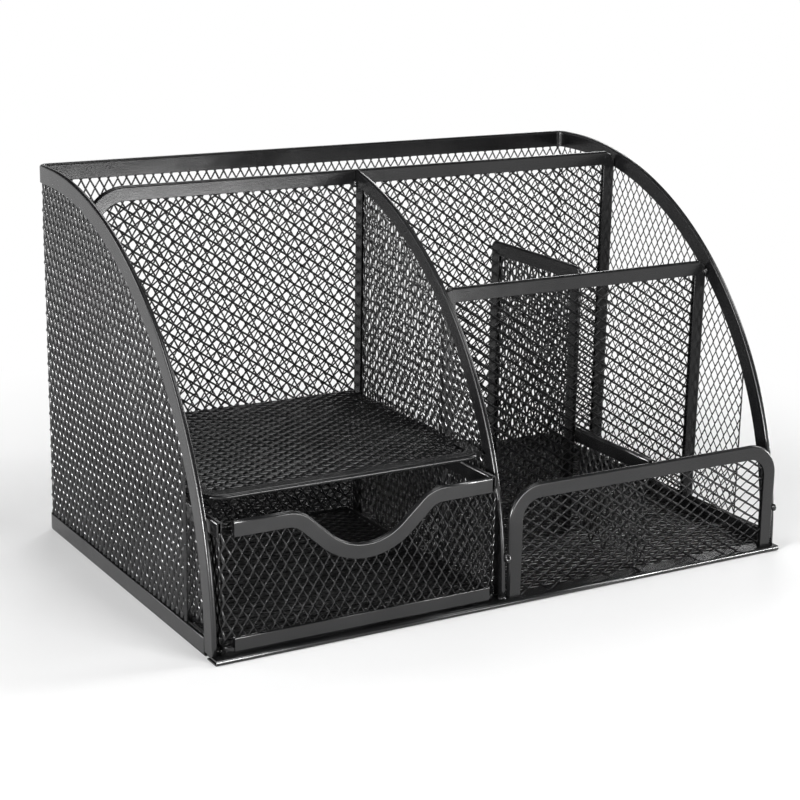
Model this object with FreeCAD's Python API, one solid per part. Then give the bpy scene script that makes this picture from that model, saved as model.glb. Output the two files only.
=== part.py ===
"""Desk organizer of expanded steel sheet with a drawer, built as separate sheets and folded edging strips.

Millimetres, +Z up. The origin is the centre of the footprint, on the plane that the organizer stands on.
-Y is the front, where the drawer and the low panel are. +X is the right-hand side seen from the front.
"""

import FreeCAD
import Part

import math
import os

from FreeCAD import Placement, Rotation, Vector

# Outside size of the organizer
width = 222.0
depth = 145.0
height = 133.5

# Side outline: a level run at the rear, then one arc down to a toe behind the front edge.
# The side and rear walls are joined by rounded corners, and this is their outside radius.
top_run = 10.5
toe = 3.0
rear_corner = 4.0

# Expanded sheet and the folded steel strip that grips its edges
sheet = 0.8
strip_wall = 0.5
seat_gap = 0.1
shell_band = 6.2
inner_band = 5.2
front_rim_depth = 7.0

# Strands of the sheet. Two layers cross without touching, and both end in the flat selvedge.
cell_short = 14.5
cell_long = 20.5
strand_width = 1.2
strand_thickness = 0.3
selvedge = 1.6
strand_bite = 0.5
shortest_strand = 8.0
window_chord = 12.0

# Compartments
rear_pocket = 35.55
centre_offset = -5.0
cross_wall_y = -24.45
cross_wall_drop = 3.2
pen_divider_x = 54.0
pen_divider_height = 100.0
pen_corner = 2.5
low_divider_height = 41.5
divider_left_corner = 15.0
divider_right_corner = 5.0
cross_corner = 4.0
least_corner = 0.5

# Low front panel
panel_setback = 2.35
panel_height = 40.5
panel_corner = 12.0

# Shelf over the drawer
shelf_height = 49.0
shelf_setback = 0.7
shelf_corner = 9.0
shelf_return = 6.0

# Drawer
side_play = 1.5
floor_play = 0.3
stop_gap = 0.5
drawer_height = 45.0
drawer_side_height = 44.0
drawer_bend = 3.5
foot_height = 5.0
scoop_depth = 14.4
scoop_slope = 42.0
scoop_radius = 19.0
shoulder_radius = 12.0

# Weld beads on the seams
bead_radius = 1.2
bead_length = 2.6
bead_sides = 6
panel_bead_height = 16.0

# Worked out from the sizes above
edging = sheet + 2 * strip_wall
half = edging / 2
right = width / 2
front = -depth / 2
rear = depth / 2
inside_right = right - edging
inside_rear = rear - edging
rear_flat = right - rear_corner
corner_y = rear - rear_corner
arc_y = rear - top_run
arc_run = depth - top_run - toe
arc_radius = (arc_run**2 + height**2) / (2 * height)
arc_z = height - arc_radius
base_sheet_z = half
on_base = half + sheet / 2
rear_divider_y = inside_rear - rear_pocket - half
pocket_front = rear_divider_y - half
panel_y = front + panel_setback + half
centre_right = centre_offset + half
centre_left = centre_offset - half
drawer_left = -inside_right + side_play
drawer_right = centre_left - side_play
drawer_middle = (drawer_left + drawer_right) / 2
drawer_bottom = edging + floor_play
drawer_rear = pocket_front - stop_gap
drawer_sheet_foot = drawer_bottom + strip_wall + seat_gap
bend_start = drawer_left + strip_wall + drawer_bend
bend_end = drawer_right - strip_wall - drawer_bend
bend_rear = panel_y - sheet / 2 + drawer_bend
rim_rear = front + front_rim_depth


# Planes that a flat piece is turned into. Its own Z becomes the thickness.

def on_side(shape, x):
    """Outline in Y and Z, thickness along X."""
    return shape.transformed(Placement(Vector(x, 0, 0), Rotation(Vector(1, 1, 1), 120)).Matrix)


def on_wall(shape, y):
    """Outline in X and Z, thickness along Y."""
    return shape.transformed(Placement(Vector(0, y, 0), Rotation(Vector(1, 0, 0), 90)).Matrix)


def on_level(shape, z):
    """Outline in X and Y, thickness along Z."""
    return shape.transformed(Placement(Vector(0, 0, z), Rotation()).Matrix)


# Outlines, as flat faces. Each takes the distance that its edged sides are set in by.

def closed_face(edges):
    return Part.Face(Part.Wire(Part.__sortEdges__(edges)))


def line(start, end):
    return Part.LineSegment(Vector(*start, 0), Vector(*end, 0)).toShape()


def arc(centre, radius, start, end):
    """Arc from one angle to another, in degrees."""
    points = []
    for angle in (start, (start + end) / 2, end):
        turn = math.radians(angle)
        points.append(Vector(centre[0] + radius * math.cos(turn), centre[1] + radius * math.sin(turn), 0))
    return Part.Arc(*points).toShape()


def polygon(points):
    corners = [Vector(*point, 0) for point in points]
    return Part.Face(Part.makePolygon(corners + corners[:1]))


def rectangle(low, high):
    return polygon([low, (high[0], low[1]), high, (low[0], high[1])])


def arc_front(z):
    """Front edge of the sides and of the centre divider at height z."""
    return arc_y - math.sqrt(arc_radius**2 - (z - arc_z) ** 2)


def arc_height(y):
    """Top edge of the sides and of the centre divider at a place behind the toe."""
    return arc_z + math.sqrt(arc_radius**2 - (arc_y - y) ** 2)


def side_outline(inset, low, end):
    """Side of the organizer in Y and Z, from a foot at height low to an upright rear edge at y = end."""
    radius = arc_radius - inset
    foot_angle = 180 - math.degrees(math.asin((low - arc_z) / radius))
    foot = (arc_y + radius * math.cos(math.radians(foot_angle)), low)
    edges = []
    if end > arc_y:
        top = height - inset
        edges.append(arc((arc_y, arc_z), radius, foot_angle, 90))
        edges.append(line((arc_y, top), (end, top)))
    else:
        top_angle = math.degrees(math.acos((end - arc_y) / radius))
        top = arc_z + radius * math.sin(math.radians(top_angle))
        edges.append(arc((arc_y, arc_z), radius, foot_angle, top_angle))
    edges.append(line((end, top), (end, low)))
    edges.append(line((end, low), foot))
    return closed_face(edges)


def arch_outline(inset, start, end, low, top, corners):
    """Outline with two rounded corners at its far side, such as an upright wall. Its foot stays at low."""
    start += inset
    end -= inset
    top -= inset
    left_corner, right_corner = (max(corner - inset, least_corner) for corner in corners)
    return closed_face([
        line((start, low), (start, top - left_corner)),
        arc((start + left_corner, top - left_corner), left_corner, 180, 90),
        line((start + left_corner, top), (end - right_corner, top)),
        arc((end - right_corner, top - right_corner), right_corner, 90, 0),
        line((end, top - right_corner), (end, low)),
        line((end, low), (start, low)),
    ])


def behind_base_strip(face):
    """Outline in Y and Z, notched so that it clears the strip along the front edge of the base."""
    return face.cut(rectangle((2 * front, -edging), (rim_rear, edging))).Faces[0]


def scoop_outline(inset, start, end, low, top):
    """Drawer front in X and Z. The top edge dips in one smooth finger scoop, and only it is set in."""
    slope = math.radians(scoop_slope)
    turn_radius = scoop_radius + shoulder_radius
    ramp = (scoop_depth - turn_radius * (1 - math.cos(slope))) / math.sin(slope)
    half_width = turn_radius * math.sin(slope) + ramp * math.cos(slope)
    shoulder = shoulder_radius - inset
    bottom = scoop_radius + inset
    shoulder_z = top - shoulder_radius
    bottom_centre = (drawer_middle, top - scoop_depth + scoop_radius)
    left_centre = (drawer_middle - half_width, shoulder_z)
    right_centre = (drawer_middle + half_width, shoulder_z)
    level = top - inset
    left_shoulder = arc(left_centre, shoulder, 90, 90 - scoop_slope)
    right_shoulder = arc(right_centre, shoulder, 90 + scoop_slope, 90)
    dip = arc(bottom_centre, bottom, 270 - scoop_slope, 270 + scoop_slope)
    left_ramp = Part.makeLine(left_shoulder.Vertexes[-1].Point, dip.Vertexes[0].Point)
    right_ramp = Part.makeLine(dip.Vertexes[-1].Point, right_shoulder.Vertexes[0].Point)
    return closed_face([
        line((start, low), (start, level)),
        line((start, level), (left_centre[0], level)),
        left_shoulder,
        left_ramp,
        dip,
        right_ramp,
        right_shoulder,
        line((right_centre[0], level), (end, level)),
        line((end, level), (end, low)),
        line((end, low), (start, low)),
    ])


def shelf_outline(inset, start, end, low, high):
    """Shelf in X and Y with two rounded front corners. Its rear edge stays at y = high."""
    corner = shelf_corner - inset
    start += inset
    end -= inset
    low += inset
    return closed_face([
        line((start, high), (start, low + corner)),
        arc((start + corner, low + corner), corner, 180, 270),
        line((start + corner, low), (end - corner, low)),
        arc((end - corner, low + corner), corner, 270, 360),
        line((end, low + corner), (end, high)),
        line((end, high), (start, high)),
    ])


# Sheets and strips

def prism(face, thickness):
    solid = face.extrude(Vector(0, 0, thickness))
    solid.translate(Vector(0, 0, -thickness / 2))
    return solid


def window(face, distance):
    """Outline set in all round, with each curve replaced by chords."""
    wire = face.OuterWire.makeOffset2D(-distance)
    corners = []
    for edge, start in zip(wire.OrderedEdges, wire.OrderedVertexes):
        straight = edge.Curve.TypeId == "Part::GeomLine"
        chords = 1 if straight else math.ceil(edge.Length / window_chord) + 1
        points = edge.discretize(chords + 1)
        if not points[0].isEqual(start.Point, 1e-6):
            points.reverse()
        corners += points[:-1]
    return Part.Face(Part.makePolygon(corners + corners[:1]))


def strand_layer(outline, long_way, side):
    """Parallel strands across an outline, leaning to one side of the cell's long way, in degrees."""
    lean = math.degrees(math.atan(cell_short / cell_long))
    pitch = cell_short * cell_long / math.hypot(cell_short, cell_long)
    box = outline.BoundBox
    reach = math.hypot(box.XLength, box.YLength)
    count = int(reach / pitch / 2) + 1
    turned = Placement(box.Center, Rotation(Vector(0, 0, 1), long_way + side * lean))
    strands = []
    for number in range(-count, count):
        strand = Part.makeBox(reach, strand_width, strand_thickness)
        across = (number + 0.5) * pitch - strand_width / 2
        up = side * sheet / 4 - strand_thickness / 2
        strand.translate(Vector(-reach / 2, across, up))
        strands.append(strand.transformed(turned.Matrix))
    return Part.makeCompound(strands)


def mesh(outline, long_way=90.0):
    """Expanded sheet as one solid: a flat selvedge round the outline and two layers of strands."""
    solid = prism(outline, sheet).cut(prism(window(outline, selvedge), sheet))
    field = prism(window(outline, selvedge - strand_bite), sheet)
    least = shortest_strand * strand_width * strand_thickness
    strands = []
    for side in (-1, 1):
        trimmed = strand_layer(outline, long_way, side).common(field)
        strands += [strand for strand in trimmed.Solids if strand.Volume > least]
    return solid.fuse(strands)


def channel(outline, band):
    """Folded strip over the edged sides of an outline, which is given as a function of its inset."""
    strip = prism(outline(0), edging).cut(prism(outline(band), edging))
    return strip.cut(prism(outline(strip_wall), sheet))


def gripped(outline):
    """The sheet's own outline, seated in the fold of its strip."""
    return outline(strip_wall + seat_gap)


# Organizer: the shell

def side_mesh():
    """Side sheet, up to the rear corner. Its lower edge sits in the fold of the bottom strip."""
    seat = strip_wall + seat_gap
    return mesh(behind_base_strip(side_outline(seat, seat, corner_y)))


def side_rim():
    """Edging of a side: the arc from the base strip up, and the level run to the rear corner."""
    return channel(lambda inset: side_outline(inset, edging, corner_y), shell_band)


def side_bottom_strip():
    """Foot strip of a side, opening upwards. Its front end is scribed round the arc's edging."""
    strip = prism(rectangle((rim_rear, 0), (corner_y, shell_band)), edging)
    slot = prism(rectangle((rim_rear, strip_wall), (corner_y, shell_band)), sheet)
    arc_band = side_outline(0, edging, corner_y).cut(side_outline(shell_band, edging, corner_y))
    return strip.cut(slot).cut(prism(arc_band, edging))


def rear_bend(side, low, high, thickness):
    """Quarter turn round a rear corner of the shell, for a sheet or strip of one thickness."""
    middle = rear_corner - half
    outer = Part.makeCylinder(middle + thickness / 2, high - low, Vector(), Vector(0, 0, 1), 90)
    inner = Part.makeCylinder(middle - thickness / 2, high - low, Vector(), Vector(0, 0, 1), 90)
    turn = 90 if side < 0 else 0
    centre = Vector(side * rear_flat, corner_y, low)
    return outer.cut(inner).transformed(Placement(centre, Rotation(Vector(0, 0, 1), turn)).Matrix)


def rear_run(low, high, thickness):
    """Upright band along the rear of the shell and round both of its rear corners."""
    flat = on_wall(prism(rectangle((-rear_flat, low), (rear_flat, high)), thickness), rear - half)
    return flat.fuse([rear_bend(side, low, high, thickness) for side in (-1, 1)])


def rear_top_strip():
    slot = rear_run(height - shell_band, height - strip_wall, sheet)
    return rear_run(height - shell_band, height, edging).cut(slot)


def rear_bottom_strip():
    return rear_run(0, shell_band, edging).cut(rear_run(strip_wall, shell_band, sheet))


def rear_mesh():
    """Flat part of the rear sheet, between its two bends."""
    seat = strip_wall + seat_gap
    return on_wall(mesh(rectangle((-rear_flat, seat), (rear_flat, height - seat))), rear - half)


def bend_sheet(side):
    """Bend that carries the rear sheet round to a side sheet."""
    seat = strip_wall + seat_gap
    return rear_bend(side, seat, height - seat, sheet)


def base_mesh():
    """Base sheet, from the fold of the front strip to the feet of the other three walls."""
    front_edge = front + strip_wall + seat_gap
    corner = max(rear_corner - edging, least_corner)
    outer = arch_outline(0, -inside_right, inside_right, front_edge, inside_rear, (corner, corner))
    return on_level(mesh(outer, 0.0), base_sheet_z)


def base_front_strip():
    """Strip along the front edge of the base. The side edging stands on its ends."""
    strip = prism(rectangle((-right, front), (right, rim_rear)), edging)
    slot = rectangle((-right, front + strip_wall), (right, rim_rear))
    return on_level(strip.cut(prism(slot, sheet)), base_sheet_z)


def shell():
    side_x = inside_right + half
    return {
        "left_side_mesh": on_side(side_mesh(), -side_x),
        "right_side_mesh": on_side(side_mesh(), side_x),
        "rear_wall_mesh": rear_mesh(),
        "left_bend_mesh": bend_sheet(-1),
        "right_bend_mesh": bend_sheet(1),
        "base_mesh": base_mesh(),
        "left_side_rim": on_side(side_rim(), -side_x),
        "right_side_rim": on_side(side_rim(), side_x),
        "rear_top_rim": rear_top_strip(),
        "left_bottom_rim": on_side(side_bottom_strip(), -side_x),
        "right_bottom_rim": on_side(side_bottom_strip(), side_x),
        "rear_bottom_rim": rear_bottom_strip(),
        "base_front_rim": base_front_strip(),
    }


# Organizer: dividers, low front panel and shelf

def rear_divider_outline(inset):
    corners = divider_left_corner, divider_right_corner
    top = arc_height(pocket_front)
    return arch_outline(inset, -inside_right, inside_right, on_base, top, corners)


def centre_outline(inset):
    """Arc edge and upright rear edge of the centre divider, which stands on the base strip."""
    return side_outline(inset, edging, pocket_front - inset)


def centre_mesh():
    """Centre divider's sheet, which reaches down to the base sheet behind the base strip."""
    seat = strip_wall + seat_gap
    return mesh(behind_base_strip(side_outline(seat, on_base, pocket_front - seat)))


def cross_wall_top():
    """Top of the cross wall, which stops a little below the arc."""
    return arc_height(cross_wall_y) - cross_wall_drop


def cross_outline(inset):
    corners = cross_corner, cross_corner
    return arch_outline(inset, centre_right, inside_right, on_base, cross_wall_top(), corners)


def pen_outline(inset):
    """Pen divider in Y and Z, with edging on its top and both ends."""
    start = cross_wall_y + half
    corners = pen_corner, pen_corner
    return arch_outline(inset, start, pocket_front, on_base, pen_divider_height, corners)


def low_outline(inset):
    """Low divider, with edging along its top only."""
    start, end = panel_y + half, cross_wall_y - half
    return behind_base_strip(rectangle((start, on_base), (end, low_divider_height - inset)))


def panel_outline(inset):
    corners = panel_corner, panel_corner
    return arch_outline(inset, centre_right, inside_right, edging, panel_height, corners)


def shelf_edge(inset):
    """Shelf between the left side and the centre divider, up to the rear divider."""
    nose = arc_front(shelf_height) + shelf_setback
    return shelf_outline(inset, -inside_right, centre_left, nose, pocket_front)


def shelf_rim():
    """Edging round the shelf's front edge and a short way back along both ends."""
    whole = channel(shelf_edge, inner_band)
    nose = shelf_edge(0).BoundBox.YMin
    keep = rectangle((-inside_right, nose), (centre_left, nose + shelf_corner + shelf_return))
    return whole.common(prism(keep, edging))


def dividers():
    return {
        "rear_divider_mesh": on_wall(mesh(gripped(rear_divider_outline)), rear_divider_y),
        "rear_divider_rim": on_wall(channel(rear_divider_outline, inner_band), rear_divider_y),
        "centre_divider_mesh": on_side(centre_mesh(), centre_offset),
        "centre_divider_rim": on_side(channel(centre_outline, inner_band), centre_offset),
        "cross_wall_mesh": on_wall(mesh(gripped(cross_outline)), cross_wall_y),
        "cross_wall_rim": on_wall(channel(cross_outline, inner_band), cross_wall_y),
        "pen_divider_mesh": on_side(mesh(gripped(pen_outline)), pen_divider_x),
        "pen_divider_rim": on_side(channel(pen_outline, inner_band), pen_divider_x),
        "low_divider_mesh": on_side(mesh(gripped(low_outline)), pen_divider_x),
        "low_divider_rim": on_side(channel(low_outline, inner_band), pen_divider_x),
        "front_panel_mesh": on_wall(mesh(gripped(panel_outline), 0.0), panel_y),
        "front_panel_rim": on_wall(channel(panel_outline, inner_band), panel_y),
        "shelf_mesh": on_level(mesh(gripped(shelf_edge), 0.0), shelf_height),
        "shelf_rim": on_level(shelf_rim(), shelf_height),
    }


# Welds

def bead(centre, direction, pieces):
    """One drop of weld on a seam: a short many-sided nugget, with the pieces beside it cut away."""
    corners = []
    for number in range(bead_sides):
        turn = 2 * math.pi * (number + 0.5) / bead_sides
        corners.append((bead_radius * math.cos(turn), bead_radius * math.sin(turn)))
    nugget = prism(polygon(corners), bead_length)
    nugget = nugget.transformed(Placement(centre, Rotation(Vector(0, 0, 1), direction)).Matrix)
    for piece in pieces:
        if piece.BoundBox.intersect(nugget.BoundBox):
            nugget = nugget.cut(piece)
    return max(nugget.Solids, key=lambda drop: drop.Volume)


def weld_beads(pieces):
    """Drops of weld at the low panel, the centre divider's foot, the cross wall and the rear divider."""
    upright = Vector(0, 0, 1)
    across = Vector(1, 0, 0)
    seam_y = (arc_front(panel_bead_height) + panel_y - half) / 2
    wall_front = cross_wall_y - half
    wall_seam_z = cross_wall_top() - cross_corner
    seams = [
        (Vector(centre_right, seam_y, panel_bead_height), upright),
        (Vector(inside_right, seam_y, panel_bead_height), upright),
        (Vector(centre_left, arc_front(edging), edging), across),
        (Vector(inside_right, wall_front, wall_seam_z), upright),
        (Vector(centre_right, wall_front, wall_seam_z), upright),
        (Vector(centre_left, pocket_front, arc_height(pocket_front) - inner_band), upright),
    ]
    return Part.makeCompound([bead(centre, direction, pieces.values()) for centre, direction in seams])


# Drawer

def front_outline(inset):
    """Flat part of the drawer front, between the bends of its two corners."""
    return scoop_outline(inset, bend_start, bend_end, drawer_sheet_foot, drawer_height)


def corner_bend(side):
    """Quarter-round corner of the drawer, where the front sheet turns back along one side."""
    centre = Vector(bend_start if side < 0 else bend_end, bend_rear, drawer_sheet_foot)
    tall = drawer_height - strip_wall - seat_gap - drawer_sheet_foot
    turn = 180 if side < 0 else 270
    outer = Part.makeCylinder(drawer_bend, tall, Vector(), Vector(0, 0, 1), 90)
    inner = Part.makeCylinder(drawer_bend - sheet, tall, Vector(), Vector(0, 0, 1), 90)
    return outer.cut(inner).transformed(Placement(centre, Rotation(Vector(0, 0, 1), turn)).Matrix)


def drawer_front():
    flat = on_wall(mesh(gripped(front_outline)), panel_y)
    return flat.fuse([corner_bend(-1), corner_bend(1)])


def foot_strip():
    """Strip along the lower edge of the drawer front, with its fold under the sheet's edge."""
    top = drawer_bottom + foot_height
    strip = prism(rectangle((bend_start, drawer_bottom), (bend_end, top)), edging)
    slot = rectangle((bend_start, drawer_bottom + strip_wall), (bend_end, top))
    return on_wall(strip.cut(prism(slot, sheet)), panel_y)


def drawer_side_edge(inset):
    return rectangle((bend_rear, drawer_bottom + sheet), (drawer_rear, drawer_side_height - inset))


def drawer_rear_edge(inset):
    """Rear of the drawer, between the edging of its two sides."""
    start, end = drawer_left + edging, drawer_right - edging
    return rectangle((start, drawer_bottom + sheet), (end, drawer_side_height - inset))


def drawer_floor():
    """Floor sheet, from the strip along the front's lower edge to the rear."""
    outer = rectangle((drawer_left + strip_wall, panel_y + half), (drawer_right - strip_wall, drawer_rear))
    return on_level(mesh(outer, 0.0), drawer_bottom + sheet / 2)


def drawer():
    left_x = drawer_left + half
    right_x = drawer_right - half
    rear_y = drawer_rear - half
    return {
        "drawer_front_mesh": drawer_front(),
        "drawer_left_mesh": on_side(mesh(gripped(drawer_side_edge)), left_x),
        "drawer_right_mesh": on_side(mesh(gripped(drawer_side_edge)), right_x),
        "drawer_rear_mesh": on_wall(mesh(gripped(drawer_rear_edge)), rear_y),
        "drawer_floor_mesh": drawer_floor(),
        "drawer_handle_rim": on_wall(channel(front_outline, inner_band), panel_y),
        "drawer_foot_rim": foot_strip(),
        "drawer_left_rim": on_side(channel(drawer_side_edge, inner_band), left_x),
        "drawer_right_rim": on_side(channel(drawer_side_edge, inner_band), right_x),
        "drawer_rear_rim": on_wall(channel(drawer_rear_edge, inner_band), rear_y),
    }


def main():
    os.makedirs("parts", exist_ok=True)
    pieces = {**shell(), **dividers(), **drawer()}
    pieces["weld_beads"] = weld_beads(pieces)
    for name, shape in pieces.items():
        shape.exportStep(os.path.join("parts", name + ".step"))


main()
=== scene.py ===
"""Desk organizer of black expanded steel sheet: true mesh, folded edging, welds and finish."""

import functools
import math

import bmesh
import bpy
import numpy as np
from mathutils import Matrix, Vector


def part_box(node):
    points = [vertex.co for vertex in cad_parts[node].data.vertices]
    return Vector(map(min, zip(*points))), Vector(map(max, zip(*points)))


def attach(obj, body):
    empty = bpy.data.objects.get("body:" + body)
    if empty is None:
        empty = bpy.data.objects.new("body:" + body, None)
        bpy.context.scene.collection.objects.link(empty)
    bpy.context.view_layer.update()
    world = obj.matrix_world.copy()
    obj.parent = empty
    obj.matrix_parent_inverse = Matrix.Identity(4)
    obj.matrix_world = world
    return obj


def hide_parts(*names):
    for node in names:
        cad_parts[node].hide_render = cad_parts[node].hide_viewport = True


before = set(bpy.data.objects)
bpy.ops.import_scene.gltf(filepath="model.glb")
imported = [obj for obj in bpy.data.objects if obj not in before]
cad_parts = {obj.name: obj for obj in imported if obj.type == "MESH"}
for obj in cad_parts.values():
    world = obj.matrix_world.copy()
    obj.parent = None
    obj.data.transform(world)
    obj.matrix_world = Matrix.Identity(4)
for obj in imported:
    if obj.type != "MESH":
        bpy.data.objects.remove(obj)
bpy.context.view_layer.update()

MM = 0.001

# Expanded sheet, in mm, with angles in degrees. The strands' faces lean out of the sheet's plane.
short_pitch = 3.75
side_short_pitch = 3.6
rear_short_pitch = 3.45
wide_short_pitch = 3.95
rear_divider_short_pitch = 4.25
long_pitch = 6.15
strand_width = 0.62
strand_thickness = 0.38
bond_length = 0.4
bond_mitre = 0.12
lean_angle = 47.0
lean_wander = 3.0
place_wander = 0.05
wave_height = 0.09
wave_length = 31.0
wave_stretch = 0.7, 1.6
wave_count = 3
gauge = 0.8
selvedge = 1.4
base_cut_back = 3.0

# Folded edging, in mm
wall = 0.5
fold_radius = 0.85
lip_radius = 0.2
scribe_gap = 0.15

# Fineness of curves: degrees for each step of a short arc, and counts of steps and points
curve_step = 2.0
fold_steps = 5
arc_steps = 60
shell_bend_points = 8
drawer_bend_points = 9
level_tolerance = 1e-6

# Welds: lengths in mm, and a drop's core and knobs as shares of its bead's half size
lump_reach = 5.0
drop_swell = 0.35
drop_seed = 20
drop_fineness = 4
drop_core = 0.72
knob_count = 5
knob_height = 0.3, 0.5
knob_sharpness = 3

# Outlines that the frame's boxes don't give, in mm
top_run = 10.5
toe = 3.0
rear_corner = 4.0
divider_left_corner = 15.0
divider_right_corner = 5.0
cross_corner = 4.0
panel_corner = 12.0
shelf_corner = 9.0
least_corner = 0.5
pen_corner = 2.5
shell_band = 6.2
inner_band = 5.2
half_band = inner_band / 2
drawer_bend = 3.5
scoop_depth = 14.4
scoop_slope = 42.0
scoop_radius = 19.0
shoulder_radius = 12.0

# Powder coat: scales in cycles per metre, heights in metres
cloud_scale = 60.0
cloud_blacks = (0.3, (0.004, 0.004, 0.0043)), (0.7, (0.009, 0.009, 0.0094))
gloss_scale = 240.0
gloss_spread = 0.05
mark_scale = 110.0
mark_detail = 1.0
mark_height = 0.00008

# Stage: lengths in metres, and the studio's horizon as the height of a direction
floor_half = 6.0
floor_fade = 0.15, 0.3
paper_colour = 0.93, 0.93, 0.93, 1
paper_roughness = 0.9
paper_specular = 0.2
studio_horizon = 0.12, 0.32
studio_strength = 1.0, 0.03
soft_share = 0.3
object_middle = 0, 0, 0.06

# Camera, fitted to the photo: place in metres, angles in degrees, focal length in pixels
camera_place = -0.338224, -0.564460, 0.235067
camera_azimuth = 30.526
camera_drop = 15.534
camera_roll = 0.972
camera_clip = 0.05, 20
focal_length = 1920.16
photo_width = 800
sensor_width = 36


@functools.cache
def box(node):
    """Lowest and highest corner of a CAD node, in mm."""
    low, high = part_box(node)
    return np.array(low) / MM, np.array(high) / MM


def middle_of(node, axis):
    low, high = box(node)
    return (low[axis] + high[axis]) / 2


def thickness_of(node, axis):
    low, high = box(node)
    return high[axis] - low[axis]


# Planes: each turns outline coordinates (u, v) and a distance off the sheet into X, Y, Z in mm

def on_side(x):
    return lambda u, v, off: np.stack([x + off, u, v], -1)


def on_wall(y):
    return lambda u, v, off: np.stack([u, y - off, v], -1)


def on_level(z):
    return lambda u, v, off: np.stack([u, v, z + off], -1)


# Outlines: lists of (u, v) in mm. Most take the inset, the distance that their edged sides are
# set in by, and give as many points for every inset.

def turn(centre, radius, start, end, count=None):
    """Points along an arc from one angle to another, in degrees."""
    count = count or max(3, int(abs(end - start) / curve_step))
    angles = np.radians(np.linspace(start, end, count + 1))
    return [(centre[0] + radius * math.cos(a), centre[1] + radius * math.sin(a)) for a in angles]


class Arc:
    """The front arc that the sides and the centre divider share, from the frame's boxes."""

    foot_y = box("base_front_rim")[0][1] + toe
    rear_y = box("rear_top_rim")[1][1]
    top = box("rear_top_rim")[1][2]
    centre_y = rear_y - top_run
    run = centre_y - foot_y
    radius = (run**2 + top**2) / (2 * top)
    centre_z = top - radius


def side_edge(inset, low, end):
    """Front arc of a side up to its highest point, then level to the end."""
    radius = Arc.radius - inset
    foot = 180 - math.degrees(math.asin((low - Arc.centre_z) / radius))
    centre = Arc.centre_y, Arc.centre_z
    if end > Arc.centre_y:
        return turn(centre, radius, foot, 90, arc_steps) + [(end, Arc.centre_z + radius)]
    last = math.degrees(math.acos((end - Arc.centre_y) / radius))
    return turn(centre, radius, foot, last, arc_steps)


def arch(inset, start, end, low, top, corners):
    """Up one side of a wall, over its two rounded corners and down the other side."""
    start, end, top = start + inset, end - inset, top - inset
    left, right = (max(corner - inset, least_corner) for corner in corners)
    return (
        [(start, low)]
        + turn((start + left, top - left), left, 180, 90)
        + turn((end - right, top - right), right, 90, 0)
        + [(end, low)]
    )


def arched(node, along, corners):
    """Outline of a wall with rounded top corners, as a function of its inset."""
    low, high = box(node)
    return lambda inset: arch(inset, low[along], high[along], low[2], high[2], corners)


def top_edge(node, along):
    """Level top edge of a node, as a function of its inset."""
    low, high = box(node)
    return lambda inset: [(low[along], high[2] - inset), (high[along], high[2] - inset)]


def low_edge(node, along, across=2):
    """Straight edge of a node on its low side, as a function of its inset."""
    low, high = box(node)
    return lambda inset: [(low[along], low[across] + inset), (high[along], low[across] + inset)]


def rectangle(u, v):
    return [(u[0], v[0]), (u[1], v[0]), (u[1], v[1]), (u[0], v[1])]


def scoop(inset, start, end, top):
    """Top edge of the drawer's front, with one smooth finger scoop."""
    slope = math.radians(scoop_slope)
    middle = (start + end) / 2
    radii = scoop_radius + shoulder_radius
    ramp = (scoop_depth - radii * (1 - math.cos(slope))) / math.sin(slope)
    reach = radii * math.sin(slope) + ramp * math.cos(slope)
    dip = middle, top - scoop_depth + scoop_radius
    shoulder = shoulder_radius - inset
    return (
        [(start, top - inset)]
        + turn((middle - reach, top - shoulder_radius), shoulder, 90, 90 - scoop_slope)
        + turn(dip, scoop_radius + inset, 270 - scoop_slope, 270 + scoop_slope)
        + turn((middle + reach, top - shoulder_radius), shoulder, 90 + scoop_slope, 90)
        + [(end, top - inset)]
    )


# Mesh making

def add_mesh(name, points, faces, material, smooth=None):
    """Mesh object from points in mm. smooth has a flag for each face; without it all are smooth."""
    data = bpy.data.meshes.new(name)
    data.from_pydata((np.asarray(points) * MM).tolist(), [], faces)
    data.polygons.foreach_set("use_smooth", smooth or [True] * len(faces))
    data.materials.append(material)
    data.update()
    piece = bpy.data.objects.new(name, data)
    bpy.context.collection.objects.link(piece)
    return piece


def hold(piece, body, *nodes):
    """Lets a piece ride on a body and stand for its CAD nodes, which it hides."""
    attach(piece, body)
    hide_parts(*nodes)


def outward(points, faces):
    """The faces, turned over if they enclose a negative volume."""
    corners = np.asarray(points)[np.asarray(faces)[:, :3]]
    third = np.asarray(points)[np.asarray(faces)[:, 3]]
    volume = np.einsum("ij,ij->", corners[:, 0], np.cross(corners[:, 1], corners[:, 2]))
    volume += np.einsum("ij,ij->", corners[:, 0], np.cross(corners[:, 2], third))
    return [face[::-1] for face in faces] if volume < 0 else faces


# Edging: a section is a closed loop of (inset, distance off the sheet)

def rolled(inset, off, radius, start):
    """Quarter turn of a section round a fold or a lip."""
    return turn((inset, off), radius, start, start - 90, fold_steps)


def channel_section(band, thickness):
    """Folded strip: round the outside, then back along the slot that grips the sheet."""
    half = thickness / 2
    slot = half - wall
    fold = half - fold_radius
    lip = half - lip_radius
    inner_lip = slot + lip_radius
    lip_inset = band - lip_radius
    return (
        rolled(fold_radius, -fold, fold_radius, 270)
        + rolled(fold_radius, fold, fold_radius, 180)
        + rolled(lip_inset, lip, lip_radius, 90)
        + rolled(lip_inset, inner_lip, lip_radius, 0)
        + [(wall, slot), (wall, -slot)]
        + rolled(lip_inset, -inner_lip, lip_radius, 90)
        + rolled(lip_inset, -lip, lip_radius, 0)
    )


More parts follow.
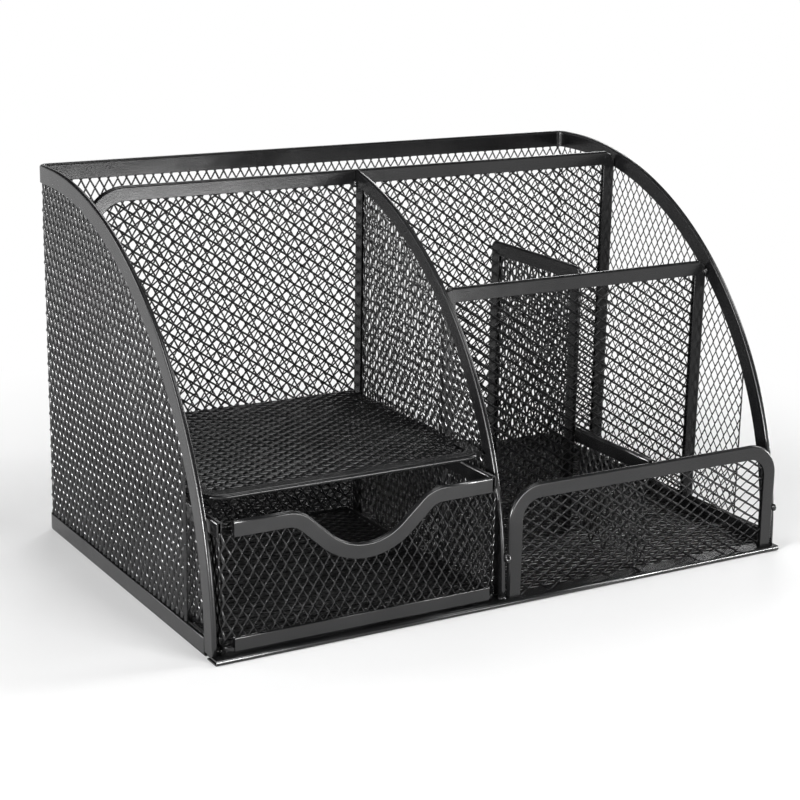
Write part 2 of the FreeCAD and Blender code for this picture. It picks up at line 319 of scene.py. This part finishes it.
def selvedge_section(band, thickness):
    """Solid margin that a sheet keeps along an edge with no strip."""
    low, high = lip_radius, band - lip_radius
    off = thickness / 2 - lip_radius
    return (
        rolled(low, -off, lip_radius, 270)
        + rolled(low, off, lip_radius, 180)
        + rolled(high, off, lip_radius, 90)
        + rolled(high, -off, lip_radius, 0)
    )


def edging(name, outline, place, band, thickness, body, *nodes, section=channel_section):
    """Strip lofted along an outline, closed at both ends. outline gives the path for an inset."""
    loop = section(band, thickness)
    rows = []
    for inset, off in loop:
        path = np.array(outline(inset))
        rows.append(place(path[:, 0], path[:, 1], np.full(len(path), off)))
    points = np.concatenate(rows)
    count, length = len(rows), len(rows[0])
    faces, smooth = [], []
    for row in range(count):
        following = (row + 1) % count
        flat = abs(loop[row][1] - loop[following][1]) < level_tolerance
        for k in range(length - 1):
            here, there = row * length + k, following * length + k
            faces.append((here, here + 1, there + 1, there))
            smooth.append(not flat)
    starts = range(0, count * length, length)
    caps = [tuple(starts), tuple(start + length - 1 for start in starts)[::-1]]
    turned = outward(points, faces)
    if turned is not faces:
        caps = [cap[::-1] for cap in caps]
    piece = add_mesh(name, points, turned + caps, strip_coat, smooth + [False, False])
    hold(piece, body, *nodes)


# Expanded sheet

class Lattice:
    """Bonds of an expanded sheet over a span of its plane. Each holds two stations along the long
    way, three edges across and two faces, so a bond has twelve points."""

    def __init__(self, low, high, pitch, rng, stretch):
        # One column and one row lie before the span, and at least one after it
        self.columns = int((high[0] - low[0]) / (pitch / 2)) + 3
        self.rows = int((high[1] - low[1]) / long_pitch) + 3
        column, row = np.meshgrid(np.arange(self.columns), np.arange(self.rows), indexing="ij")
        self.short = low[0] + (column - 1) * pitch / 2
        self.long = low[1] + (row - 1 + column % 2 / 2) * long_pitch
        self.short = stretch(self.short) + rng.normal(0, place_wander, self.short.shape)
        self.long = self.long + rng.normal(0, place_wander, self.long.shape)
        self.lean = np.radians(lean_angle + rng.normal(0, lean_wander, self.short.shape))

    def points(self, lean_sign):
        """Arrays short, long and off, each by column, row, station, edge and face."""
        across = np.array([-1, 0, 1])[None, None, None, :, None] * strand_width
        station = np.array([-1, 1])[None, None, :, None, None]
        mitre = np.array([-1, 1, -1])[None, None, None, :, None] * bond_mitre
        face = np.array([-1, 1])[None, None, None, None, :] * strand_thickness / 2
        lean = (self.lean * lean_sign(self.short))[:, :, None, None, None]
        short = self.short[:, :, None, None, None] + across * np.cos(lean) + face * np.sin(lean)
        long = self.long[:, :, None, None, None] + station * (bond_length / 2 + mitre)
        off = -across * np.sin(lean) + face * np.cos(lean)
        return np.broadcast_arrays(short, long, off)

    def edge(self, column, row, station, edge):
        """Numbers of the two points, back and front, at one edge of a bond's station."""
        first = (((column * self.rows + row) * 2 + station) * 3 + edge) * 2
        return first, first + 1

    def section(self, column, row, station, half):
        """Four points round one half of a bond's end: 0 is the half on the low side of the bond."""
        low_back, low_front = self.edge(column, row, station, half)
        high_back, high_front = self.edge(column, row, station, half + 1)
        return np.stack([low_front, high_front, high_back, low_back], -1)


def tube(start, end, sides=(0, 1, 2, 3)):
    """Quads between two four-point sections."""
    corners = [(k, (k + 1) % 4) for k in sides]
    return [np.stack([start[:, a], start[:, b], end[:, b], end[:, a]], -1) for a, b in corners]


def lattice_faces(lattice, kept):
    """Quads of the kept bonds and of the strands between them, with the cut ends closed."""
    quads = []
    column, row = np.nonzero(kept)
    # The shared edge between the halves of a bond has no face of its own
    for half, sides in ((0, (0, 2, 3)), (1, (0, 1, 2))):
        start, end = (lattice.section(column, row, station, half) for station in (0, 1))
        quads += tube(start, end, sides)
    strand_at = {}
    for station in (0, 1):
        # A strand runs from the low half of a bond to the high half of one in the column before
        step = station - 1 + column % 2
        other = np.clip(row + step, 0, lattice.rows - 1)
        before = np.clip(column - 1, 0, lattice.columns - 1)
        there = (column > 0) & (row + step == other) & kept[before, other]
        start = lattice.section(column, row, station, 0)
        quads.append(start[~there][:, :: (1 if station else -1)])
        run = start[there]
        met = lattice.section(before[there], other[there], 1 - station, 1)
        quads += tube(run, met) if station else tube(met, run)
        taken = np.zeros(kept.shape, bool)
        taken[before[there], other[there]] = True
        strand_at[1 - station] = taken
    for station, taken in strand_at.items():
        bare = kept & ~taken
        end = lattice.section(*np.nonzero(bare), station, 1)
        quads.append(end[:, :: (1 if station else -1)])
    return np.concatenate(quads)


def inside(u, v, outline):
    """True where a point lies inside a closed outline."""
    found = np.zeros(u.shape, bool)
    for (u0, v0), (u1, v1) in zip(outline, outline[1:] + outline[:1]):
        crosses = (v0 > v) != (v1 > v)
        if v0 != v1:
            found ^= crosses & (u < (u1 - u0) * (v - v0) / (v1 - v0) + u0)
    return found


def ripple(u, v, rng):
    """Slow waves that a thin sheet has, in mm."""
    waves = 0
    for _ in range(wave_count):
        heading, phase = rng.uniform(0, math.tau), rng.uniform(0, math.tau)
        stretch = rng.uniform(*wave_stretch)
        along = u * math.cos(heading) + v * math.sin(heading)
        waves = waves + np.sin(along * math.tau / (wave_length * stretch) + phase)
    return waves * wave_height / wave_count


def unstretched(short):
    return short


def up_the_short_way(short):
    return 1


def down_the_short_way(short):
    return -1


def sheet(
    name, place, outline, body, material, *nodes,
    long_way="v", leaning=up_the_short_way, pitch=short_pitch, stretch=unstretched, seed=0,
):
    """Expanded sheet cut to an outline in (u, v). Its strands' faces lean up or down the short way,
    and stretch says how its evenly pitched columns are drawn apart."""
    rng = np.random.default_rng(seed)
    corners = np.array(outline)
    low, high = corners.min(0), corners.max(0)
    if long_way == "u":
        low, high = low[::-1], high[::-1]
    lattice = Lattice(low, high, pitch, rng, stretch)
    where = (lattice.long, lattice.short) if long_way == "u" else (lattice.short, lattice.long)
    kept = inside(*where, outline)
    short, long, off = lattice.points(leaning)
    u, v = (long, short) if long_way == "u" else (short, long)
    points = place(u, v, off + ripple(u, v, rng)).reshape(-1, 3)
    faces = lattice_faces(lattice, kept)
    used, faces = np.unique(faces, return_inverse=True)
    points = points[used]
    faces = faces.reshape(-1, 4)
    piece = add_mesh(name, points, outward(points, faces.tolist()), material)
    hold(piece, body, *nodes)


# Developed sheets: u runs along the wall, round its bent corners, with off outward

def wrapped(half_straight, radius, wall_place):
    """Place of a sheet that bends back at both ends of a straight run. wall_place turns distances
    across, back and up into X, Y, Z."""
    quarter = math.pi * radius / 2

    def place(u, v, off):
        reach = np.abs(u)
        angle = np.clip((reach - half_straight) / radius, 0, math.pi / 2)
        beyond = np.maximum(reach - half_straight - quarter, 0)
        across = np.minimum(reach, half_straight) + (radius + off) * np.sin(angle)
        back = beyond + radius - (radius + off) * np.cos(angle)
        return wall_place(np.sign(u) * across, back, v)

    return place


class Shell:
    """Middle of the shell's wall, which runs along one side, round the rear and along the other."""

    half_wall = thickness_of("left_bottom_rim", 0) / 2
    bend_radius = rear_corner - half_wall
    rear_y = Arc.rear_y - half_wall
    straight_run = middle_of("right_side_mesh", 0) - bend_radius
    turn_end = straight_run + math.pi * bend_radius / 2

    @classmethod
    def developed(cls, y):
        """Distance along the wall from the middle of the rear to a side's point at y."""
        return cls.turn_end + cls.rear_y - cls.bend_radius - y

    @classmethod
    def place(cls):
        return wrapped(
            cls.straight_run, cls.bend_radius,
            lambda x, back, z: np.stack([x, cls.rear_y - back, z], -1),
        )


def drawn_rear(short):
    """Columns of the shell's sheet: a little closer together over the rear than over the sides."""
    reach = Shell.turn_end * side_short_pitch / rear_short_pitch
    return np.sign(short) * np.interp(
        np.abs(short), [0, reach, 2 * reach], [0, Shell.turn_end, Shell.turn_end + reach]
    )


def shell_sheet(material):
    """Side and rear walls as one sheet, bent round the two rear corners."""
    inset = shell_band / 2
    foot = box("left_side_mesh")[0][2]
    corner_y = Shell.rear_y - Shell.bend_radius
    arc = [(Shell.developed(y), z) for y, z in side_edge(inset, foot, corner_y) if y <= corner_y]
    left = [(-u, z) for u, z in arc]
    top = Arc.top - inset
    outline = left + [(-Shell.turn_end, top), (Shell.turn_end, top)] + arc[::-1]
    sheet(
        "shell_sheet", Shell.place(), outline, "stand", material,
        "left_side_mesh", "right_side_mesh", "rear_wall_mesh", "left_bend_mesh", "right_bend_mesh",
        leaning=lambda u: np.where(u > Shell.turn_end, 1, -1),
        pitch=side_short_pitch, stretch=drawn_rear, seed=1,
    )


def drawer_sheet(material):
    """Front and sides of the drawer as one sheet, bent back at the two front corners."""
    low, high = box("drawer_front_mesh")
    rim_low, rim_high = box("drawer_handle_rim")
    front_y = (rim_low[1] + rim_high[1]) / 2
    middle = (low[0] + high[0]) / 2
    radius = drawer_bend - gauge / 2
    half_width = (high[0] - low[0]) / 2 - gauge / 2
    straight_run = half_width - radius
    turn_end = straight_run + math.pi * radius / 2
    back_end = turn_end + box("drawer_left_mesh")[1][1] - front_y - radius
    top = [(u - middle, v) for u, v in scoop(half_band, rim_low[0], rim_high[0], rim_high[2])]
    side_top = box("drawer_left_rim")[1][2] - half_band
    foot = low[2] + selvedge / 2
    outline = [(-back_end, foot), (-back_end, side_top), (-turn_end, side_top)]
    outline += top + [(turn_end, side_top), (back_end, side_top), (back_end, foot)]
    place = wrapped(
        straight_run, radius, lambda x, back, z: np.stack([middle + x, front_y + back, z], -1)
    )
    turning = list(np.linspace(straight_run, turn_end, drawer_bend_points)) + [back_end]
    for side, along in (("left", [-u for u in turning[::-1]]), ("right", turning)):
        edging(
            f"drawer_{side}_selvedge", lambda d, along=along: [(u, low[2] + d) for u in along],
            place, selvedge, gauge, "drawer", f"drawer_{side}_mesh", section=selvedge_section,
        )
    sheet(
        "drawer_wall_sheet", place, outline, "drawer", material,
        "drawer_front_mesh", "drawer_left_mesh", "drawer_right_mesh",
        leaning=lambda u: np.where(u > turn_end, -1, 1), seed=2,
    )


# Materials

def principled(name):
    material = bpy.data.materials.new(name)
    material.use_nodes = True
    tree = material.node_tree
    tree.nodes.clear()
    out = tree.nodes.new("ShaderNodeOutputMaterial")
    shader = tree.nodes.new("ShaderNodeBsdfPrincipled")
    tree.links.new(shader.outputs[0], out.inputs[0])
    return material, tree, shader


def noise(tree, scale, detail=3.0):
    coordinates = tree.nodes.new("ShaderNodeTexCoord")
    texture = tree.nodes.new("ShaderNodeTexNoise")
    texture.inputs["Scale"].default_value = scale
    texture.inputs["Detail"].default_value = detail
    tree.links.new(coordinates.outputs["Object"], texture.inputs["Vector"])
    return texture.outputs["Fac"]


def ranged(tree, value, low, high):
    node = tree.nodes.new("ShaderNodeMapRange")
    node.inputs["To Min"].default_value = low
    node.inputs["To Max"].default_value = high
    tree.links.new(value, node.inputs["Value"])
    return node.outputs[0]


def ramp(tree, value, colours):
    node = tree.nodes.new("ShaderNodeValToRGB")
    for element, (position, colour) in zip(node.color_ramp.elements, colours):
        element.position = position
        element.color = (*colour, 1)
    tree.links.new(value, node.inputs["Fac"])
    return node.outputs["Color"]


def bumped(tree, value, height, normal=None):
    node = tree.nodes.new("ShaderNodeBump")
    node.inputs["Distance"].default_value = height
    tree.links.new(value, node.inputs["Height"])
    if normal:
        tree.links.new(normal, node.inputs["Normal"])
    return node.outputs[0]


def powder_coat(name, roughness, ior, peel_scale, peel_height):
    """Black powder coat: cloudy black, uneven gloss, soft hammer marks and orange peel."""
    material, tree, shader = principled(name)
    cloud = ramp(tree, noise(tree, cloud_scale), cloud_blacks)
    tree.links.new(cloud, shader.inputs["Base Color"])
    gloss = noise(tree, gloss_scale)
    gloss = ranged(tree, gloss, roughness - gloss_spread, roughness + gloss_spread)
    tree.links.new(gloss, shader.inputs["Roughness"])
    shader.inputs["IOR"].default_value = ior
    marks = bumped(tree, noise(tree, mark_scale, mark_detail), mark_height)
    peel = bumped(tree, noise(tree, peel_scale), peel_height, marks)
    tree.links.new(peel, shader.inputs["Normal"])
    return material


strip_coat = powder_coat(
    "powder_coated_strip", roughness=0.23, ior=1.5, peel_scale=1600.0, peel_height=0.00002
)
mesh_coat = powder_coat(
    "powder_coated_mesh", roughness=0.15, ior=1.5, peel_scale=900.0, peel_height=0.00001
)
# Less glossy copy of the mesh coat with a weaker reflection, for the sheets inside: painted shade
# that darkens the inside
shaded_inner_coat = powder_coat(
    "powder_coated_inner_mesh_painted_shade", roughness=0.3, ior=1.36, peel_scale=900.0, peel_height=0.00001
)
weld_coat = powder_coat(
    "powder_coated_weld", roughness=0.16, ior=1.5, peel_scale=700.0, peel_height=0.00003
)

# The stand's walls with rounded top corners: radii of the left and the right corner, in mm
wall_corners = {
    "rear_divider": (divider_left_corner, divider_right_corner),
    "cross_wall": (cross_corner, cross_corner),
    "front_panel": (panel_corner, panel_corner),
}


def wall_sheet(wall_name, material, pitch, seed):
    """Sheet of one of the stand's walls with rounded top corners."""
    rim = wall_name + "_rim"
    sheet(
        wall_name + "_sheet", on_wall(middle_of(rim, 1)),
        arched(rim, 0, wall_corners[wall_name])(half_band),
        "stand", material, wall_name + "_mesh",
        long_way="u", leaning=down_the_short_way, pitch=pitch, seed=seed,
    )


def flat_sheets():
    """Every sheet that lies in one plane, cut where its edging or its neighbour hides the cut."""
    # The rear divider, cross wall, pen and low dividers, base and the drawer's floor and rear take
    # the weaker coat of painted shade
    wall_sheet("rear_divider", shaded_inner_coat, rear_divider_short_pitch, seed=3)
    end = box("centre_divider_rim")[1][1] - half_band
    foot = box("centre_divider_mesh")[0][2]
    sheet(
        "centre_divider_sheet", on_side(middle_of("centre_divider_rim", 0)),
        side_edge(half_band, foot, end) + [(end, foot)],
        "stand", mesh_coat, "centre_divider_mesh", seed=4,
    )
    wall_sheet("cross_wall", shaded_inner_coat, wide_short_pitch, seed=5)
    low, high = box("pen_divider_rim")
    sheet(
        "pen_divider_sheet", on_side(middle_of("pen_divider_rim", 0)),
        rectangle((low[1] + half_band, high[1] - half_band), (low[2], high[2] - half_band)),
        "stand", shaded_inner_coat, "pen_divider_mesh", seed=6,
    )
    low, high = box("low_divider_mesh")
    sheet(
        "low_divider_sheet", on_side(middle_of("low_divider_rim", 0)),
        rectangle((low[1], high[1]), (low[2], high[2] - half_band)),
        "stand", shaded_inner_coat, "low_divider_mesh", seed=7,
    )
    wall_sheet("front_panel", mesh_coat, wide_short_pitch, seed=8)
    low, high = box("shelf_mesh")
    sheet(
        "shelf_sheet", on_level(middle_of("shelf_rim", 2)),
        rectangle((low[0], high[0]), (low[1] + half_band, high[1])),
        "stand", mesh_coat, "shelf_mesh",
        long_way="u", leaning=down_the_short_way, pitch=wide_short_pitch, seed=9,
    )
    low, high = box("base_mesh")
    sheet(
        "base_sheet", on_level(middle_of("base_mesh", 2)),
        rectangle((low[0], high[0]), (low[1] + base_cut_back, high[1])),
        "stand", shaded_inner_coat, "base_mesh", long_way="u", leaning=down_the_short_way, seed=10,
    )
    low, high = box("drawer_floor_mesh")
    sheet(
        "drawer_floor_sheet", on_level(middle_of("drawer_floor_mesh", 2)),
        rectangle((low[0], high[0]), (low[1], high[1])),
        "drawer", shaded_inner_coat, "drawer_floor_mesh",
        long_way="u", leaning=down_the_short_way, seed=11,
    )
    low, high = box("drawer_rear_mesh")
    drawer_rear = on_wall(middle_of("drawer_rear_mesh", 1))
    edging(
        "drawer_rear_selvedge", low_edge("drawer_rear_mesh", 0), drawer_rear,
        selvedge, gauge, "drawer", "drawer_rear_mesh", section=selvedge_section,
    )
    sheet(
        "drawer_rear_sheet", drawer_rear,
        rectangle((low[0], high[0]), (low[2] + selvedge / 2, high[2] - half_band)),
        "drawer", shaded_inner_coat, "drawer_rear_mesh", seed=12,
    )


# Folded strips

def rear_run():
    """Developed places along the rear wall and round its corners, from left to right."""
    bend = np.linspace(Shell.straight_run, Shell.turn_end, shell_bend_points)
    return list(-bend[::-1]) + list(bend)


def shell_top(inset):
    """Edge of the shell from the left foot over the rear to the right foot, developed."""
    foot = box("left_side_rim")[0][2]
    arc = [(Shell.developed(y), z) for y, z in side_edge(inset, foot, Arc.centre_y)]
    return [(-u, z) for u, z in arc] + [(u, Arc.top - inset) for u in rear_run()] + arc[::-1]


def shell_foot(inset):
    """Foot of the shell, developed. Its ends are scribed round the arc's edging."""
    inner = Arc.radius - shell_band - scribe_gap
    scribed = Arc.centre_y - math.sqrt(inner**2 - (inset - Arc.centre_z) ** 2)
    reach = Shell.developed(max(box("left_bottom_rim")[0][1], scribed))
    return [(-reach, inset)] + [(u, inset) for u in rear_run()] + [(reach, inset)]


def centre_edge(inset):
    """Front arc, top and straight rear end of the centre divider."""
    low, high = box("centre_divider_rim")
    end = high[1] - inset
    return side_edge(inset, low[2], end) + [(end, low[2])]


def shelf_edge(inset):
    """Front edge of the shelf with a short return along both ends."""
    low, high = box("shelf_rim")
    corner = shelf_corner - inset
    start, end, front = low[0] + inset, high[0] - inset, low[1] + inset
    return (
        [(start, high[1])]
        + turn((start + corner, front + corner), corner, 180, 270)
        + turn((end - corner, front + corner), corner, 270, 360)
        + [(end, high[1])]
    )


def inner_edging(name, outline, place, thickness, body):
    """Edging in the narrower band, for a CAD rim of the same name."""
    edging(name + "_edging", outline, place, inner_band, thickness, body, name + "_rim")


def strips():
    """Edging of the stand."""
    thick = thickness_of("left_side_rim", 0)
    edging(
        "shell_top_edging", shell_top, Shell.place(), shell_band, thick,
        "stand", "left_side_rim", "right_side_rim", "rear_top_rim",
    )
    edging(
        "shell_foot_edging", shell_foot, Shell.place(), shell_band, thick,
        "stand", "left_bottom_rim", "right_bottom_rim", "rear_bottom_rim",
    )
    edging(
        "base_front_edging", low_edge("base_front_rim", 0, across=1),
        on_level(middle_of("base_front_rim", 2)), thickness_of("base_front_rim", 1), thick,
        "stand", "base_front_rim",
    )
    for name, corners in wall_corners.items():
        rim = name + "_rim"
        place = on_wall(middle_of(rim, 1))
        inner_edging(name, arched(rim, 0, corners), place, thick, "stand")
    for name, outline in (
        ("centre_divider", centre_edge),
        ("pen_divider", arched("pen_divider_rim", 1, (pen_corner, pen_corner))),
        ("low_divider", top_edge("low_divider_rim", 1)),
    ):
        place = on_side(middle_of(name + "_rim", 0))
        inner_edging(name, outline, place, thick, "stand")
    inner_edging("shelf", shelf_edge, on_level(middle_of("shelf_rim", 2)), thick, "stand")


def drawer_strips():
    """Edging of the drawer."""
    thick = thickness_of("drawer_handle_rim", 1)
    low, high = box("drawer_handle_rim")
    front = on_wall(middle_of("drawer_handle_rim", 1))
    inner_edging(
        "drawer_handle", lambda inset: scoop(inset, low[0], high[0], high[2]),
        front, thick, "drawer",
    )
    edging(
        "drawer_foot_edging", low_edge("drawer_foot_rim", 0), front,
        thickness_of("drawer_foot_rim", 2), thick, "drawer", "drawer_foot_rim",
    )
    for name in ("drawer_left", "drawer_right"):
        rim = name + "_rim"
        inner_edging(name, top_edge(rim, 1), on_side(middle_of(rim, 0)), thick, "drawer")
    inner_edging(
        "drawer_rear", top_edge("drawer_rear_rim", 0), on_wall(middle_of("drawer_rear_rim", 1)),
        thick, "drawer",
    )


# Welds

def lump_boxes(node):
    """Middle and half size, in mm, of each separate lump in a CAD node."""
    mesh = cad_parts[node].data
    points = np.empty(len(mesh.vertices) * 3)
    mesh.vertices.foreach_get("co", points)
    rest = points.reshape(-1, 3) / MM
    while len(rest):
        near = np.linalg.norm(rest - rest[0], axis=1) < lump_reach
        low, high = rest[near].min(0), rest[near].max(0)
        yield (low + high) / 2, (high - low) / 2
        rest = rest[~near]


def weld_drops():
    """Run and set weld metal on the seams: one knobbly drop over each bead."""
    rng = np.random.default_rng(drop_seed)
    ball = bmesh.new()
    bmesh.ops.create_icosphere(ball, subdivisions=drop_fineness, radius=1)
    rays = np.array([vertex.co[:] for vertex in ball.verts])
    ball_faces = np.array([[vertex.index for vertex in face.verts] for face in ball.faces])
    ball.free()
    points, faces = [], []
    for middle, half in lump_boxes("weld_beads"):
        reach = np.full(len(rays), drop_core)
        for _ in range(knob_count):
            knob = rng.normal(size=3)
            knob /= np.linalg.norm(knob)
            swell = np.clip(rays @ knob, 0, 1) ** knob_sharpness
            reach = np.maximum(reach, drop_core + rng.uniform(*knob_height) * swell)
        faces.append(ball_faces + len(rays) * len(points))
        points.append(middle + rays * reach[:, None] * (half + drop_swell))
    faces = np.concatenate(faces).tolist()
    piece = add_mesh("weld_drops", np.concatenate(points), faces, weld_coat)
    hold(piece, "stand", "weld_beads")


def coat_nodes():
    """Coat on the CAD nodes themselves."""
    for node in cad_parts.values():
        node.data.materials.clear()
        node.data.materials.append(strip_coat)


# Stage

def lamp(name, place, aim, size_xy, power):
    """Soft rectangular lamp that the camera itself never shows."""
    data = bpy.data.lights.new(name, "AREA")
    data.shape = "RECTANGLE"
    data.size, data.size_y = size_xy
    data.energy = power
    piece = bpy.data.objects.new(name, data)
    piece.location = place
    piece.rotation_euler = (Vector(aim) - Vector(place)).to_track_quat("-Z", "Y").to_euler()
    piece.visible_camera = False
    bpy.context.collection.objects.link(piece)


def any_of(tree, *values):
    """Highest of several values."""
    total = values[0]
    for value in values[1:]:
        node = tree.nodes.new("ShaderNodeMath")
        node.operation = "MAXIMUM"
        tree.links.new(total, node.inputs[0])
        tree.links.new(value, node.inputs[1])
        total = node.outputs[0]
    return total


def seen_rays(tree):
    """One for what the camera sees, straight or by a reflection or through glass."""
    path = tree.nodes.new("ShaderNodeLightPath")
    kinds = "Is Camera Ray", "Is Glossy Ray", "Is Transmission Ray"
    return any_of(tree, *(path.outputs[kind] for kind in kinds))


def times(tree, one, other):
    node = tree.nodes.new("ShaderNodeMath")
    node.operation = "MULTIPLY"
    tree.links.new(one, node.inputs[0])
    tree.links.new(other, node.inputs[1])
    return node.outputs[0]


def faded(tree, value, start, end, low, high):
    """Smooth step of a value between two of its levels."""
    node = tree.nodes.new("ShaderNodeMapRange")
    node.interpolation_type = "SMOOTHSTEP"
    for name, level in zip(("From Min", "From Max", "To Min", "To Max"), (start, end, low, high)):
        node.inputs[name].default_value = level
    tree.links.new(value, node.inputs["Value"])
    return node.outputs[0]


def length_of(tree, vector):
    node = tree.nodes.new("ShaderNodeVectorMath")
    node.operation = "LENGTH"
    tree.links.new(vector, node.inputs[0])
    return node.outputs["Value"]


def lay_floor():
    """White paper that shows as plain white away from the object."""
    data = bpy.data.meshes.new("floor")
    half = floor_half
    corners = [(-half, -half, 0), (half, -half, 0), (half, half, 0), (-half, half, 0)]
    data.from_pydata(corners, [], [(0, 1, 2, 3)])
    floor = bpy.data.objects.new("floor", data)
    bpy.context.collection.objects.link(floor)
    paper, tree, shader = principled("floor_paper")
    shader.inputs["Base Color"].default_value = paper_colour
    shader.inputs["Roughness"].default_value = paper_roughness
    shader.inputs["Specular IOR Level"].default_value = paper_specular
    white = tree.nodes.new("ShaderNodeEmission")
    mix = tree.nodes.new("ShaderNodeMixShader")
    place = tree.nodes.new("ShaderNodeTexCoord")
    away = faded(tree, length_of(tree, place.outputs["Object"]), *floor_fade, 0.0, 1.0)
    tree.links.new(times(tree, seen_rays(tree), away), mix.inputs[0])
    tree.links.new(shader.outputs[0], mix.inputs[1])
    tree.links.new(white.outputs[0], mix.inputs[2])
    tree.links.new(mix.outputs[0], tree.nodes["Material Output"].inputs[0])
    data.materials.append(paper)


def light_studio():
    """White up to a little above the horizon and dark overhead, and fainter on soft surfaces."""
    world = bpy.data.worlds.new("studio")
    bpy.context.scene.world = world
    world.use_nodes = True
    tree = world.node_tree
    background = tree.nodes["Background"]
    background.inputs["Color"].default_value = (1, 1, 1, 1)
    direction = tree.nodes.new("ShaderNodeTexCoord")
    parts = tree.nodes.new("ShaderNodeSeparateXYZ")
    tree.links.new(direction.outputs["Generated"], parts.inputs[0])
    studio = faded(tree, parts.outputs["Z"], *studio_horizon, *studio_strength)
    lit = ranged(tree, seen_rays(tree), soft_share, 1.0)
    tree.links.new(times(tree, studio, lit), background.inputs["Strength"])


def place_camera():
    """The photo's camera."""
    data = bpy.data.cameras.new("camera")
    camera = bpy.data.objects.new("camera", data)
    bpy.context.collection.objects.link(camera)
    bpy.context.scene.camera = camera
    data.sensor_width = sensor_width
    data.lens = focal_length / photo_width * sensor_width
    data.clip_start, data.clip_end = camera_clip
    camera.location = camera_place
    camera.rotation_euler = (
        Matrix.Rotation(-math.radians(camera_azimuth), 3, "Z")
        @ Matrix.Rotation(math.pi / 2 - math.radians(camera_drop), 3, "X")
        @ Matrix.Rotation(math.radians(camera_roll), 3, "Z")
    ).to_euler()


shell_sheet(mesh_coat)
drawer_sheet(mesh_coat)
weld_drops()
flat_sheets()
strips()
drawer_strips()
coat_nodes()

# Lamps: name, place, aim and size in metres, and power in watts
lamp("overhead", (0.0, 0.0, 1.1), object_middle, (0.5, 0.5), 0.6)
lamp("rear_overhead", (0.35, 0.65, 0.8), object_middle, (0.4, 0.3), 1.8)
lamp("high_front_box", (0.15, -0.5, 0.9), object_middle, (0.35, 0.35), 2.8)
lamp("high_right_box", (0.88, -0.15, 0.52), object_middle, (0.3, 0.3), 3.5)
lamp("high_left_box", (-0.9, -0.08, 0.56), object_middle, (0.3, 0.3), 3.6)
lamp("left_box", (-1.0, -0.15, 0.22), object_middle, (0.25, 0.25), 2.5)
lamp("rear_corner_box", (0.7, 0.7, 0.6), object_middle, (0.2, 0.2), 1.6)
lamp("left_rear_box", (-0.8, 0.6, 0.3), object_middle, (0.3, 0.25), 1.5)
lamp("front_box", (-0.86, -0.5, 0.12), (0, 0, 0.04), (0.2, 0.16), 10.0)
lamp("low_right_box", (0.9, -0.2, 0.07), (0, -0.07, 0.03), (0.2, 0.16), 5.0)
lamp("low_left_box", (-0.45, 0.0, 0.07), (-0.1, 0, 0.05), (0.3, 0.1), 0.3)
lamp("low_front_box", (0.05, -0.34, 0.03), (-0.03, -0.07, 0.06), (0.2, 0.04), 0.5)

lay_floor()
light_studio()
place_camera()
bpy.context.scene.view_settings.view_transform = "Standard"
